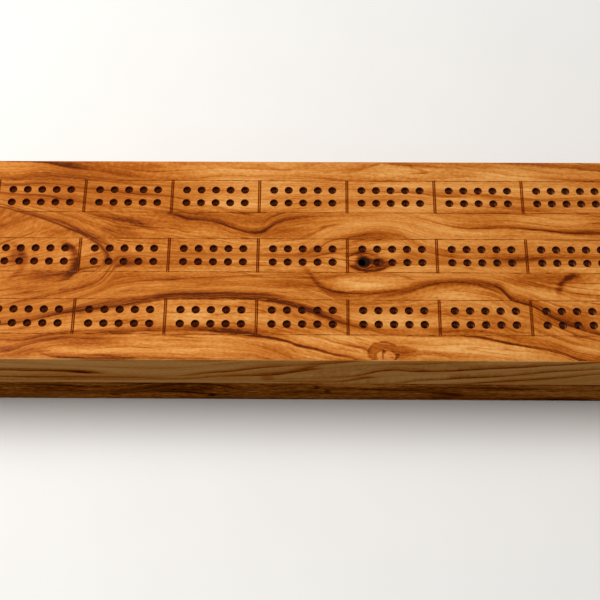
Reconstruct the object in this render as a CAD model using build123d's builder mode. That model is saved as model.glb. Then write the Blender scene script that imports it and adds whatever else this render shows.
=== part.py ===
"""Cribbage box: a solid playing board over a low case with a dovetailed drawer in one end.

Millimetres. X runs along the length, -Y is the front, +Z is up. The box stands on Z = 0, and the
origin is the middle of its outer size, drawer knob included, at the bottom.
"""

import os

from build123d import *

# ---------------------------------------------------------------- driving dimensions

# Peg track: three streets of two rows, in blocks of five holes
hole_diameter = 3.175
hole_depth = 12.7
hole_flats = 8  # each track hole is drawn with this many flats, the drill's size apart
hole_pitch = 6.35
row_spacing = 6.35
block_gap = 12.7  # from the last hole of a block to the first of the next
street_spacing = 28.9
track_setback = 0.75  # how far the track sits behind the board's middle line
street_count = 3
rows_per_street = 2
holes_per_block = 5
blocks_per_street = 7
holes_per_turn = 5
start_holes = 3

# Case
end_margin = 57.15  # from the last full block to each end of the case
edge_margin = 15.55  # from the outer rows to the long edges
board_thickness = 25.4
rail_height = 19.05
rail_width = 9.525
end_block_length = 19.05
case_panel_thickness = 3.175
panel_ledge = 4.0  # lap of the rails and the end block over the bottom panel
pocket_depth = 6.35  # drawer headroom routed up into the playing board
router_radius = 6.35
edge_ease = 0.6

# Drawer
drawer_front_thickness = 12.7
drawer_side_thickness = 4.7625
drawer_back_thickness = 6.35
drawer_bottom_thickness = 2.4
drawer_bottom_lip = 1.6  # what the grooves leave under the bottom panel
groove_depth = 2.4
dovetail_count = 2
dovetail_slope = 1 / 7
dovetail_pin = 3.0  # the pins' narrow width
front_lap = 8.0  # how far the tails enter the drawer front
divider_count = 3
divider_thickness = 4.7625
divider_drop = 2.0  # how far the dividers stay below the drawer's rim
dado_depth = 1.6
scoop_radius = 14.0
scoop_depth = 8.0

# Running clearances
side_clearance = 0.4
top_clearance = 0.5
back_clearance = 0.6
foot_clearance = 0.5
panel_end_gap = 0.3

# Knob and its screw
knob_reach = 11.0
knob_base_diameter = 8.0
knob_base_thickness = 1.6
knob_neck_diameter = 4.6
knob_head_diameter = 10.0
knob_head_thickness = 5.2
knob_dome_height = 3.2
knob_dome_steps = ((1, 0), (0.85, 0.35), (0.6, 0.72), (0.3, 1))  # shares of its radius and height
knob_flats = 16  # the knob is drawn with this many flats
screw_diameter = 3.0
screw_head_diameter = 6.0
screw_head_height = 2.0
screw_bite = 6.0  # how far the screw enters the knob
screw_clearance = 0.1

# Magnets
magnet_diameter = 6.35
magnet_thickness = 3.175
magnet_clearance = 0.05

# Peg tray and pegs
pegs_per_set = 3
peg_length = 34.0
peg_shank_length = 14.0
peg_shank_diameter = 2.9
peg_tip_diameter = 2.3
peg_waist_diameter = 3.6
peg_head_diameter = 4.6
peg_head_chamfer = 0.8
peg_shoulder = 0.3  # slope from the shank up to the waist
peg_flats = 12  # each peg is drawn with this many flats
peg_clearance = 0.2  # between a peg and its groove
tray_height = 9.5
tray_end_wall = 6.0
groove_flats = 8  # each groove is drawn with this many flats to the full round
trough_radius = 12.0
trough_depth = 5.0

# ---------------------------------------------------------------- sizes that follow

block_pitch = (holes_per_block - 1) * hole_pitch + block_gap
track_length = blocks_per_street * block_pitch
case_length = track_length + 2 * end_margin
case_depth = (street_count - 1) * street_spacing + row_spacing + 2 * edge_margin
case_height = rail_height + board_thickness

case_x = -knob_reach / 2
case_end_x = case_x + case_length / 2
case_closed_x = case_x - case_length / 2
cavity_x = case_closed_x + end_block_length
cavity_width = case_depth - 2 * rail_width
cavity_ceiling = rail_height + pocket_depth

drawer_width = cavity_width - 2 * side_clearance
drawer_floor = case_panel_thickness
drawer_top = cavity_ceiling - top_clearance
drawer_side_height = drawer_top - drawer_floor
drawer_rear_x = cavity_x + back_clearance
back_inner_x = drawer_rear_x + drawer_back_thickness
front_inner_x = case_end_x - drawer_front_thickness
inner_width = drawer_width - 2 * drawer_side_thickness
inner_length = front_inner_x - back_inner_x
bottom_z = drawer_floor + drawer_bottom_lip
inner_floor = bottom_z + drawer_bottom_thickness
magnet_z = (inner_floor + drawer_top) / 2

case_panel_start = cavity_x - panel_ledge
case_panel_end = front_inner_x - panel_end_gap
tail_pitch = (drawer_side_height - dovetail_pin) / dovetail_count
tail_width = tail_pitch - dovetail_pin

groove_radius = peg_head_diameter / 2 + peg_clearance
groove_length = peg_length + 2 * peg_clearance
tray_length = groove_length + 2 * tray_end_wall
tray_x = front_inner_x - tray_length / 2
tray_top = inner_floor + tray_height
peg_spacing = inner_width / (2 * pegs_per_set)
peg_axis_z = tray_top + peg_clearance / 2
bay_length = (inner_length - tray_length - divider_count * divider_thickness) / divider_count

os.makedirs("parts", exist_ok=True)


def save(builder, name):
    """Name a finished piece and write it out."""
    builder.part.label = name
    export_step(builder.part, f"parts/{name}.step")


def block_between(low, high, mode=Mode.ADD):
    """A square-cut piece of stock from one corner to the other."""
    with BuildSketch(Plane.XY.offset(low[2])) as outline:
        with Locations(((low[0] + high[0]) / 2, (low[1] + high[1]) / 2)):
            Rectangle(high[0] - low[0], high[1] - low[1])
    extrude(outline.sketch, amount=high[2] - low[2], mode=mode)


def seat_case_panel():
    """Cut the rabbet that the case's bottom panel is glued into."""
    half = cavity_width / 2 + panel_ledge
    block_between((case_panel_start, -half, 0), (case_panel_end, half, case_panel_thickness), Mode.SUBTRACT)


def seat_drawer_bottom():
    """Cut the groove that holds the drawer's bottom panel."""
    half = inner_width / 2 + groove_depth
    low = (back_inner_x - groove_depth, -half, bottom_z)
    high = (front_inner_x + groove_depth, half, inner_floor)
    block_between(low, high, Mode.SUBTRACT)


def case_corners(builder):
    """The upright edges at the case's four outer corners."""
    half_depth = case_depth / 2
    return (
        builder.edges()
        .filter_by(Axis.Z)
        .filter_by(lambda edge: abs(abs(edge.center().Y) - half_depth) < edge_ease / 2)
        .filter_by(lambda edge: abs(abs(edge.center().X - case_x) - case_length / 2) < edge_ease / 2)
    )


# ---------------------------------------------------------------- playing board

turn_step = 180 / holes_per_turn
turn_radius = street_spacing / 2
track_end = track_length / 2
back_street = (street_count - 1) / 2 * street_spacing


def track_hole():
    """One peg hole of the track, its flats the drill's size apart."""
    RegularPolygon(hole_diameter / 2, hole_flats, major_radius=False)


with BuildPart() as playing_board:
    block_between(
        (case_closed_x, -case_depth / 2, rail_height),
        (case_end_x, case_depth / 2, case_height),
    )
    fillet(case_corners(playing_board), edge_ease)
    fillet(playing_board.faces().sort_by(Axis.Z)[-1].outer_wire().edges(), edge_ease)

    # Drawer pocket, open at the drawer's end; the router's round corners lie past the drawer's back
    with BuildSketch(Plane.XY.offset(rail_height)) as pocket:
        with Locations((cavity_x - router_radius, 0)):
            Rectangle(case_length, cavity_width, align=(Align.MIN, Align.CENTER))
        fillet(pocket.vertices().sort_by(Axis.X)[:2], router_radius)
    extrude(amount=pocket_depth, mode=Mode.SUBTRACT)

    # Peg holes: straight streets, the two turns, the last block, the start and the round finish hole
    with BuildSketch(Plane((case_x, track_setback, case_height))):
        with GridLocations(block_pitch, street_spacing, blocks_per_street, street_count):
            with GridLocations(hole_pitch, row_spacing, holes_per_block, rows_per_street):
                track_hole()
        for end, start_angle in ((1, -90), (-1, 90)):
            with Locations((end * track_end, end * (back_street - turn_radius))):
                for row_radius in (turn_radius - row_spacing / 2, turn_radius + row_spacing / 2):
                    with PolarLocations(row_radius, holes_per_turn, start_angle + turn_step / 2, 180):
                        track_hole()
        with Locations((track_end + block_pitch / 2, -back_street)):
            with GridLocations(hole_pitch, row_spacing, holes_per_block, rows_per_street):
                track_hole()
        with Locations((-track_end - (start_holes + 1) / 2 * hole_pitch, back_street)):
            with GridLocations(hole_pitch, row_spacing, start_holes, rows_per_street):
                track_hole()
        with Locations((track_end + block_pitch + hole_pitch, -back_street)):
            Circle(hole_diameter / 2)
    extrude(amount=-hole_depth, mode=Mode.SUBTRACT)
save(playing_board, "playing_board")

# ---------------------------------------------------------------- lower layer of the case


def case_rail(name, side):
    """A long rail of the lower layer: side is -1 at the front and 1 at the back."""
    near, far = sorted((side * cavity_width / 2, side * case_depth / 2))
    with BuildPart() as rail:
        block_between((case_closed_x, near, 0), (case_end_x, far, rail_height))
        seat_case_panel()
        fillet(case_corners(rail), edge_ease)
    save(rail, name)


case_rail("front_rail", -1)
case_rail("back_rail", 1)

with BuildPart() as end_block:
    block_between((case_closed_x, -cavity_width / 2, 0), (cavity_x, cavity_width / 2, rail_height))
    seat_case_panel()
    with Locations(Plane((cavity_x, 0, magnet_z), z_dir=(1, 0, 0))):
        Hole(magnet_diameter / 2 + magnet_clearance, depth=magnet_thickness)
save(end_block, "end_block")

with BuildPart() as case_bottom_panel:
    panel_half_width = cavity_width / 2 + panel_ledge
    block_between(
        (case_panel_start, -panel_half_width, 0),
        (case_panel_end, panel_half_width, case_panel_thickness),
    )
save(case_bottom_panel, "case_bottom_panel")


def magnet(name, plane):
    """A disc magnet, pressed in flush with the plane that it faces out of."""
    with BuildPart() as disc:
        with BuildSketch(plane):
            Circle(magnet_diameter / 2)
        extrude(amount=-magnet_thickness)
    save(disc, name)


magnet("case_magnet", Plane((cavity_x, 0, magnet_z), z_dir=(1, 0, 0)))
magnet("drawer_magnet", Plane((drawer_rear_x, 0, magnet_z), z_dir=(-1, 0, 0)))

# ---------------------------------------------------------------- drawer box


def side_plane(side):
    """The plane of a drawer side's face that looks to +Y; it is drawn in X and Z."""
    face_y = drawer_width / 2 if side > 0 else drawer_side_thickness - drawer_width / 2
    return Plane(origin=(0, face_y, 0), x_dir=(1, 0, 0), z_dir=(0, -1, 0))


def dovetails(root_x, tip_x):
    """A row of tails up the drawer side, narrow at the root and wide at the tip."""
    root_half = tail_width / 2 - dovetail_slope * abs(tip_x - root_x)
    for tail in range(dovetail_count):
        middle = drawer_floor + dovetail_pin + tail_width / 2 + tail * tail_pitch
        Polygon(
            (root_x, middle - root_half),
            (tip_x, middle - tail_width / 2),
            (tip_x, middle + tail_width / 2),
            (root_x, middle + root_half),
            align=None,
        )


def divider_x(number):
    """The middle of a divider, counted from the peg tray."""
    gap = number * (bay_length + divider_thickness)
    return front_inner_x - tray_length - divider_thickness / 2 - gap


def drawer_side(name, side):
    """A drawer side with its tails: side is -1 towards the front of the box, 1 towards the back."""
    with BuildPart() as board:
        with BuildSketch(side_plane(side)):
            with Locations(((back_inner_x + front_inner_x) / 2, (drawer_floor + drawer_top) / 2)):
                Rectangle(inner_length, drawer_side_height)
            dovetails(back_inner_x, drawer_rear_x)
            dovetails(front_inner_x, front_inner_x + front_lap)
        extrude(amount=drawer_side_thickness)
        seat_drawer_bottom()
        dado_half = inner_width / 2 + dado_depth
        for number in range(divider_count):
            middle = divider_x(number)
            block_between(
                (middle - divider_thickness / 2, -dado_half, inner_floor),
                (middle + divider_thickness / 2, dado_half, drawer_top),
                Mode.SUBTRACT,
            )
    save(board, name)


drawer_side("drawer_front_side", -1)
drawer_side("drawer_rear_side", 1)

front_middle_z = (foot_clearance + drawer_top) / 2

with BuildPart() as drawer_front:
    block_between(
        (front_inner_x, -drawer_width / 2, foot_clearance),
        (case_end_x, drawer_width / 2, drawer_top),
    )
    for side in (-1, 1):
        with BuildSketch(side_plane(side)):
            dovetails(front_inner_x, front_inner_x + front_lap)
        extrude(amount=drawer_side_thickness, mode=Mode.SUBTRACT)
    seat_drawer_bottom()
    with Locations(Plane((front_inner_x, 0, front_middle_z), z_dir=(-1, 0, 0))):
        CounterBoreHole(
            screw_diameter / 2 + screw_clearance,
            screw_head_diameter / 2 + screw_clearance,
            screw_head_height + screw_clearance,
        )
save(drawer_front, "drawer_front")

with BuildPart() as drawer_back:
    block_between(
        (drawer_rear_x, -drawer_width / 2, drawer_floor),
        (back_inner_x, drawer_width / 2, drawer_top),
    )
    for side in (-1, 1):
        with BuildSketch(side_plane(side)):
            dovetails(back_inner_x, drawer_rear_x)
        extrude(amount=drawer_side_thickness, mode=Mode.SUBTRACT)
    seat_drawer_bottom()
    with Locations(Plane((drawer_rear_x, 0, magnet_z), z_dir=(-1, 0, 0))):
        Hole(magnet_diameter / 2 + magnet_clearance, depth=magnet_thickness)
save(drawer_back, "drawer_back")

with BuildPart() as drawer_bottom_panel:
    bottom_half_width = inner_width / 2 + groove_depth
    block_between(
        (back_inner_x - groove_depth, -bottom_half_width, bottom_z),
        (front_inner_x + groove_depth, bottom_half_width, inner_floor),
    )
save(drawer_bottom_panel, "drawer_bottom_panel")


def divider(number):
    """A divider in its dados, with a scoop for the fingers in its top edge."""
    top = drawer_top - divider_drop
    start = Plane((divider_x(number) - divider_thickness / 2, 0, 0), x_dir=(0, 1, 0), z_dir=(1, 0, 0))
    with BuildPart() as wall:
        with BuildSketch(start):
            with Locations((0, (inner_floor + top) / 2)):
                Rectangle(inner_width + 2 * dado_depth, top - inner_floor)
            with Locations((0, top - scoop_depth + scoop_radius)):
                Circle(scoop_radius, mode=Mode.SUBTRACT)
        extrude(amount=divider_thickness)
    save(wall, f"drawer_divider_{number + 1}")


for divider_number in range(divider_count):
    divider(divider_number)

# ---------------------------------------------------------------- peg tray and pegs

with BuildPart() as peg_tray:
    block_between(
        (tray_x - tray_length / 2, -inner_width / 2, inner_floor),
        (front_inner_x, inner_width / 2, tray_top),
    )
    # One groove for each peg, its bottom in flats
    with BuildSketch(Plane((tray_x - groove_length / 2, 0, tray_top), x_dir=(0, 1, 0), z_dir=(1, 0, 0))):
        with GridLocations(peg_spacing, 1, 2 * pegs_per_set, 1):
            RegularPolygon(groove_radius, groove_flats, major_radius=False, rotation=180 / groove_flats)
    extrude(amount=groove_length, mode=Mode.SUBTRACT)
    # A trough across them all, to get a finger under the pegs
    trough_half = peg_spacing * (pegs_per_set - 0.5) + groove_radius
    trough_end = Plane((tray_x, trough_half, tray_top), x_dir=(1, 0, 0), z_dir=(0, -1, 0))
    with BuildSketch(trough_end):
        with Locations((0, trough_radius - trough_depth)):
            Circle(trough_radius)
    extrude(amount=2 * trough_half, mode=Mode.SUBTRACT)
save(peg_tray, "peg_tray")


def turning(start, profile, flats):
    """A turned piece that points along +X, drawn with flats; the profile pairs distances and radii."""
    rings = []
    for distance, radius in profile:
        centre = Vector(start) + Vector(distance, 0, 0)
        arm = Vector(0, 0, radius)
        rings.append([centre + arm.rotate(Axis.X, flat * 360 / flats) for flat in range(flats)])
    faces = [Face(Wire.make_polygon(rings[0])), Face(Wire.make_polygon(rings[-1]))]
    for near, far in zip(rings, rings[1:]):
        for flat in range(flats):
            after = (flat + 1) % flats
            faces.append(Face(Wire.make_polygon([near[flat], near[after], far[after], far[flat]])))
    add(Solid(Shell(faces)))


def peg(name, y):
    """A turned peg on its side: a tapered shank, then a grip that swells from its waist to the head."""
    profile = (
        (0, peg_tip_diameter / 2),
        (peg_shank_length - peg_shoulder, peg_shank_diameter / 2),
        (peg_shank_length, peg_waist_diameter / 2),
        (peg_length - peg_head_chamfer, peg_head_diameter / 2),
        (peg_length, peg_head_diameter / 2 - peg_head_chamfer),
    )
    with BuildPart() as turned:
        turning((tray_x - peg_length / 2, y, peg_axis_z), profile, peg_flats)
    save(turned, name)


for peg_number in range(pegs_per_set):
    offset = (peg_number + 0.5) * peg_spacing
    peg(f"brass_peg_{peg_number + 1}", -offset)
    peg(f"steel_peg_{peg_number + 1}", offset)

# ---------------------------------------------------------------- knob and its screw

knob_profile = [
    (0, knob_base_diameter / 2),
    (knob_base_thickness, knob_base_diameter / 2),
    (knob_reach - knob_head_thickness, knob_neck_diameter / 2),
]
for radius_share, height_share in knob_dome_steps:
    dome_start = knob_reach - knob_dome_height
    knob_profile.append((dome_start + height_share * knob_dome_height, radius_share * knob_head_diameter / 2))

with BuildPart() as drawer_knob:
    turning((case_end_x, 0, front_middle_z), knob_profile, knob_flats)
    with Locations(Plane((case_end_x, 0, front_middle_z), z_dir=(-1, 0, 0))):
        Hole(screw_diameter / 2 + screw_clearance, depth=screw_bite + screw_clearance)
save(drawer_knob, "drawer_knob")

with BuildPart() as knob_screw:
    with BuildSketch(Plane((front_inner_x, 0, front_middle_z), z_dir=(1, 0, 0))):
        Circle(screw_head_diameter / 2)
    extrude(amount=screw_head_height)
    with BuildSketch(Plane((front_inner_x, 0, front_middle_z), z_dir=(1, 0, 0))):
        Circle(screw_diameter / 2)
    extrude(amount=drawer_front_thickness + screw_bite)
save(knob_screw, "knob_screw")
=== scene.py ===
"""Cribbage box with a drawer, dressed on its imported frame.

Metres, in the frame's own axes: X along the box, -Y the front, +Z up.
"""

import math

import bmesh
import bpy
from mathutils import Matrix, Vector


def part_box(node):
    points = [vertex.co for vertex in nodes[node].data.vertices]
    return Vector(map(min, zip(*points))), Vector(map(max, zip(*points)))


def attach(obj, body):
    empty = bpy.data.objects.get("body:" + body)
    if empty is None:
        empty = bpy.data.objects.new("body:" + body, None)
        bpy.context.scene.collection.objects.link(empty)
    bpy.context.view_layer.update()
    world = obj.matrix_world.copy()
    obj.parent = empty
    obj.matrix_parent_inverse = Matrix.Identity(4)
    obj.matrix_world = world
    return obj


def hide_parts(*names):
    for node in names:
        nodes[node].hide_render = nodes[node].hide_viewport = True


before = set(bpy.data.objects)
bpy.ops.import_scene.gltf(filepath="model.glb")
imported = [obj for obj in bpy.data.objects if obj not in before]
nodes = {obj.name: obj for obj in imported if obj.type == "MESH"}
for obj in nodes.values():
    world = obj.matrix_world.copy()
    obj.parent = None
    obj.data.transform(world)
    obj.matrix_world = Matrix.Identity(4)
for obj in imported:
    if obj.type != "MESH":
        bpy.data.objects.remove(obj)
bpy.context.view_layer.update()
mm = 0.001

# ---------------- rails of the lower layer
# The lower layer is a frame of darker olive wood, glued up under the playing board: a rail along
# each long side, full length, sawn from wild crotch grain that is nearly black in places.

case_middle_x = -5.5
chart_width = 400.0  # figure charts run this far along the box
chart_height = 140.0  # and this far across the grain
core_far, core_near = 0.6, 0.45  # half width of a strong line's dark core on its two sides
shade_far, shade_near = 4.8, 1.5  # and how far its brown shade goes
band_reach = 3.0  # a soft band fades out this far from its middle


class Field:
    """A socket of a finish, wrapped so that sums on it read as ordinary arithmetic."""

    def __init__(self, socket):
        self.socket = socket

    def node(self, kind, settings, inputs, output=0):
        """Any node: its settings first, then the values or links of its sockets."""
        tree = self.socket.id_data
        made = tree.nodes.new("ShaderNode" + kind)
        for name, value in settings.items():
            if name == "stops":
                stops = made.color_ramp.elements
                stops[0].position = value[0][0]
                stops[1].position = value[-1][0]
                for position, colour in value[1:-1]:
                    stops.new(position)
                for stop, (position, colour) in zip(stops, value):
                    stop.color = (*colour, 1.0)
            elif name == "points":
                curve = made.mapping.curves[0]
                while len(curve.points) < len(value):
                    curve.points.new(0.5, 0.5)
                for point, location in zip(curve.points, value):
                    point.location = location
                made.mapping.update()
            else:
                setattr(made, name, value)
        for name, value in inputs.items():
            if isinstance(value, Field):
                tree.links.new(value.socket, made.inputs[name])
            else:
                made.inputs[name].default_value = value
        return Field(made.outputs[output])

    def maths(self, operation, *others):
        return self.node("Math", {"operation": operation}, dict(enumerate((self, *others))))

    def vector(self, operation, *others, output=0):
        return self.node("VectorMath", {"operation": operation}, dict(enumerate((self, *others))), output)

    def __add__(self, other):
        return self.maths("ADD", other)

    __radd__ = __add__

    def __sub__(self, other):
        return self.maths("SUBTRACT", other)

    def __rsub__(self, other):
        return self.node("Math", {"operation": "SUBTRACT"}, {0: other, 1: self})

    def __mul__(self, other):
        return self.maths("MULTIPLY", other)

    __rmul__ = __mul__

    def __truediv__(self, other):
        return self.maths("DIVIDE", other)

    def __pow__(self, other):
        return self.maths("POWER", other)

    def above(self, other):
        return self.maths("MAXIMUM", other)

    def below(self, other):
        return self.maths("MINIMUM", other)

    def size(self):
        return self.maths("ABSOLUTE")

    def fraction(self):
        return self.maths("FRACT")

    def ease(self, start, end):
        """0 at start and 1 at end, smoothly."""
        settings = {"interpolation_type": "SMOOTHSTEP"}
        return self.node("MapRange", settings, {"Value": self, "From Min": start, "From Max": end})

    def drift(self, spread, detail=2.0, roughness=0.5):
        """Smooth random values from 0 to 1; spread is their size along each axis, in millimetres."""
        scaled = self.vector("DIVIDE", spread)
        inputs = {"Vector": scaled, "Scale": 1.0, "Detail": detail, "Roughness": roughness}
        return self.node("TexNoise", {}, inputs)

    def oval(self, middle, radii):
        """0 at a middle and 1 on the rim of an oval round it; on a flat face two values do for each."""
        scaled = self.vector("SUBTRACT", (*middle, 0)[:3]).vector("DIVIDE", (*radii, 1)[:3])
        return scaled.vector("LENGTH", output="Value")

    def ramp(self, *stops):
        return self.node("ValToRGB", {"stops": stops}, {0: self})

    def mix(self, colour, other):
        """From one colour to another as this value goes from 0 to 1."""
        inputs = {0: self, 6: paint_chip(colour), 7: paint_chip(other)}
        return self.node("Mix", {"data_type": "RGBA"}, inputs, 2)


def paint_chip(colour):
    return colour if isinstance(colour, Field) else (*colour, 1.0)


def shade(red, green, blue):
    """A colour given from 0 to 255, in the linear values that a shader takes."""
    return tuple(((value / 255 + 0.055) / 1.055) ** 2.4 for value in (red, green, blue))


def new_finish(name):
    """A blank finish: its material, its shader, and the point on the piece in millimetres."""
    material = bpy.data.materials.new(name)
    material.use_nodes = True
    shader = material.node_tree.nodes["Principled BSDF"]
    place = Field(shader.inputs[0]).node("TexCoord", {}, {}, "Object")
    point = place.node("VectorMath", {"operation": "SCALE"}, {0: place, "Scale": 1 / mm})
    return material, shader, point


def coat(shader, colour, roughness, height, depth, specular=0.5, metallic=0.0):
    """Lay a colour, a roughness and a relief, depth millimetres deep, on a shader."""
    shader.inputs["Specular IOR Level"].default_value = specular
    shader.inputs["Metallic"].default_value = metallic
    links = shader.id_data.links
    links.new(colour.socket, shader.inputs["Base Color"])
    links.new(roughness.socket, shader.inputs["Roughness"])
    inputs = {"Height": height, "Distance": depth * mm, "Strength": 1.0}
    links.new(height.node("Bump", {}, inputs).socket, shader.inputs["Normal"])


def axes(point):
    """The X, Y and Z of a point."""
    return tuple(point.node("SeparateXYZ", {}, {0: point}, axis) for axis in "XYZ")


def on_face(along, across):
    """A place on a flat face of a piece, for drawing ovals there."""
    return along.node("CombineXYZ", {}, {"X": along, "Y": across})


def carried_on(*lines):
    """Lines that begin and end on the piece, each carried on unseen to both ends of its chart."""
    end = chart_width / 2
    return [((-end, line[0][1], 0), *line, (end, line[-1][1], 0)) for line in lines]


def chart(along, line, column):
    """A drawn line of a figure, or its darkness, as a curve along the box."""
    points = []
    for mark in line:
        across = (mark[1] + chart_height / 2) / chart_height if column == 1 else mark[2]
        points.append(((mark[0] + chart_width / 2) / chart_width, across))
    return along.node("FloatCurve", {"points": points}, {"Value": along})


def pencil(across, level, darkness, weight):
    """A growth line: a dark core, sharp on its near side, and a brown shade that fades on its far side."""
    apart = (across - level) * chart_height / ((darkness + 0.25) * weight)
    core = (1.5 - (apart / core_far).above(apart / -core_near)).above(0.0).below(1.0)
    shading = (1 - (apart / shade_far).above(apart / -shade_near)).above(0.0)
    return (core * darkness * 0.95).above(shading * shading * 0.65) * darkness


def soft_band(across, level, darkness):
    """A broad brown band with no sharp side."""
    apart = ((across - level) * chart_height / band_reach).size()
    return apart.ease(1.0, 0.0) * darkness


def olive_figure(point, along, across, guides, extra_lines=(), bands=(), weight=1.0):
    """Flowing olive grain between guide lines: how dark it is, and the grain's level.

    Each mark of a line is its place along the box, its place across, and its darkness there.
    """
    wobble = (point.drift((45, 14, 14)) - 0.5) * 1.8 + (point.drift((7, 1.6, 1.6), 3.0, 0.65) - 0.5) * 1.1
    along = (along + chart_width / 2) / chart_width
    across = (across + wobble + chart_height / 2) / chart_height
    drawn = [chart(along, guide, 1) for guide in guides]
    heights = [sum(mark[1] for mark in guide) / len(guide) for guide in guides]
    strokes = []
    level = 0
    for number, guide in enumerate(guides):
        if any(mark[2] for mark in guide):
            strokes.append(pencil(across, drawn[number], chart(along, guide, 2), weight))
        if number:
            gap = heights[number - 1] - heights[number]
            span = {"From Min": drawn[number], "From Max": drawn[number - 1], "To Max": gap}
            level = level + across.node("MapRange", {}, {"Value": across, **span})
    strokes += [pencil(across, chart(along, line, 1), chart(along, line, 2), weight) for line in extra_lines]
    strokes += [soft_band(across, chart(along, band, 1), chart(along, band, 2)) for band in bands]
    lines = strokes[0]
    for stroke in strokes[1:]:
        lines = lines.above(stroke)
    return lines, level


def olive_tone(x, level, depth, lines, strength=1.0):
    """Growth rings, fibres and broad shading that follow the grain's level."""
    grain = x.node("CombineXYZ", {}, {"X": x, "Y": level, "Z": depth})
    rings = (level / 3.4 + grain.drift((70, 9, 30)) * 2.4).fraction()
    ring_weight = grain.drift((40, 5, 20)).ease(0.44, 0.66)
    fibre = grain.drift((16, 0.55, 6), 4.0, 0.7) - 0.5
    broad = grain.drift((90, 11, 30)) - 0.5
    streak = grain.drift((42, 1.3, 10), 3.0, 0.65) - 0.5
    dashes = grain.drift((11, 0.42, 3), 2.0, 0.6).ease(0.6, 0.74) * grain.drift((30, 5, 10)).ease(0.45, 0.6)
    speckle = grain.drift((1.8, 0.5, 2), 2.0, 0.7) - 0.5
    veins = (grain.drift((80, 3.2, 30), 1.0) - 0.5).size().ease(0.022, 0.0)
    veins = veins * grain.drift((34, 3, 12)).ease(0.42, 0.6)
    tone = (1 - rings) ** 3 * ring_weight * 0.25 + fibre * 0.56 + broad * 0.75 + streak * 0.52 + dashes * 0.2
    tone = tone + speckle * 0.55 + veins * 0.3
    broken = 0.97 + streak * 0.8 + fibre * 0.6
    return tone * strength + lines * broken, grain


def blotches(tone, flat, patches):
    """Darker and paler places: the middle of each, its reach each way, and how much darker it is."""
    for x, y, reach_x, reach_y, change in patches:
        tone = tone + flat.oval((x, y), (reach_x, reach_y)).ease(1.25, 0.25) * change
    return tone


def olive_colour(tone, grain):
    """Honey wood in the pale growth, red-brown in the dark."""
    honey = tone.ramp(
        (0.0, shade(228, 166, 96)),
        (0.15, shade(216, 148, 75)),
        (0.35, shade(198, 120, 47)),
        (0.55, shade(172, 90, 22)),
        (0.75, shade(142, 64, 8)),
        (0.9, shade(110, 44, 3)),
        (1.0, shade(82, 28, 1)),
    )
    pores = grain.drift((3.2, 0.2, 0.6), 1.0).ease(0.62, 0.74)
    return (pores * 0.25).mix(honey, shade(112, 52, 10))


rail_guides = (
    ((-200, 40, 0), (200, 40, 0)),
    ((-190, 21, 0.3), (-126, 17, 0.6), (-105, 16, 0.7), (-95, 14, 0.8), (-80, 14, 0.7), (-70, 16.5, 0.8),
     (-62, 19, 0.5), (-30, 22, 0.3), (60, 18.4, 0.6), (75, 17.3, 0.8), (100, 17, 0.6), (126, 18, 0.4),
     (190, 17, 0.4)),
    ((-190, 13, 0.3), (-126, 8.5, 0.4), (-100, 9, 0.4), (-85, 9, 0.5), (-75, 10.5, 0.7), (-68, 12, 0.8),
     (-58, 16, 0.9), (-45, 17.6, 0.9), (-34, 15, 0.8), (-27, 11, 0.6), (-10, 14, 0.3), (3, 17, 0.6),
     (12, 14, 0.6), (28, 12.3, 0.9), (45, 11.3, 0.95), (60, 12, 0.6), (75, 14, 0.8), (95, 13, 0.9),
     (126, 12, 0.5), (190, 11, 0.5)),
    ((-190, 7, 0.3), (-126, 4, 0.3), (-82, 5, 0.6), (-68, 8, 0.7), (-52, 7.5, 0.8), (-40, 5.4, 0.8),
     (-20, 5, 0.4), (3, 9, 0.7), (12, 7.4, 0.6), (28, 7, 0.3), (45, 9, 0.5), (58, 8.6, 0.9),
     (66, 5.5, 0.95), (80, 5, 0.6), (100, 5, 0.3), (126, 4, 0.4), (190, 5, 0.4)),
    ((-190, 1, 0.3), (-60, 1.6, 0.5), (0, 0.6, 0.5), (66, 2, 0.7), (110, 1, 0.7), (190, 0.4, 0.4)),
    ((-200, -30, 0), (200, -30, 0)),
)

material, shader, point = new_finish("olive_wood_base")
rail_x, rail_y, rail_z = axes(point)
rail_patches = (
    (-52, 12.5, 17, 5.5, 0.2), (-41, 14.5, 6, 3, 0.2), (-39.5, 5, 2, 2, 0.7), (-82, 5, 3, 1.6, 0.4),
    (-108, 14, 18, 4, 0.25), (-95, 3, 22, 3, -0.12), (-80, 18.4, 34, 1.2, 0.35), (6, 14, 1.4, 3, 0.4),
    (11, 9.5, 1.8, 3, 0.45), (20, 17, 26, 3, -0.28), (62, 6.5, 10, 5, 0.26), (85, 13, 16, 2.6, 0.35),
    (100, 17, 24, 2.4, -0.15), (115, 2, 14, 3, 0.35),
)
along = rail_x - case_middle_x
lines, level = olive_figure(point, along, rail_z, rail_guides, weight=1.2)
tone, grain = olive_tone(rail_x, level, rail_y, lines * 0.6, 1.1)
tone = blotches(tone, on_face(along, rail_z), rail_patches)
tone = tone + (grain.drift((4, 0.6, 2), 3.0, 0.7) - 0.5) * 1.8 + 0.26
rail_colour = tone.ramp(
    (0.0, shade(205, 132, 56)),
    (0.25, shade(172, 98, 30)),
    (0.5, shade(138, 70, 14)),
    (0.75, shade(104, 46, 5)),
    (1.0, shade(66, 26, 2)),
)
coat(shader, rail_colour, tone * 0.1 + 0.55, grain.drift((20, 0.3, 2), 3.0), 0.05, specular=0.0)
olive_base = material


def dress(material, names, softening=0.0):
    """Give nodes a finish, and take the sharpness off their corners as fine abrasive does."""
    for name in names:
        nodes[name].data.materials.clear()
        nodes[name].data.materials.append(material)
        if softening:
            bevel = nodes[name].modifiers.new("softened corners", "BEVEL")
            bevel.width = softening * mm
            bevel.segments = 2
            bevel.limit_method = "ANGLE"
            bevel.angle_limit = math.radians(50)


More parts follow.
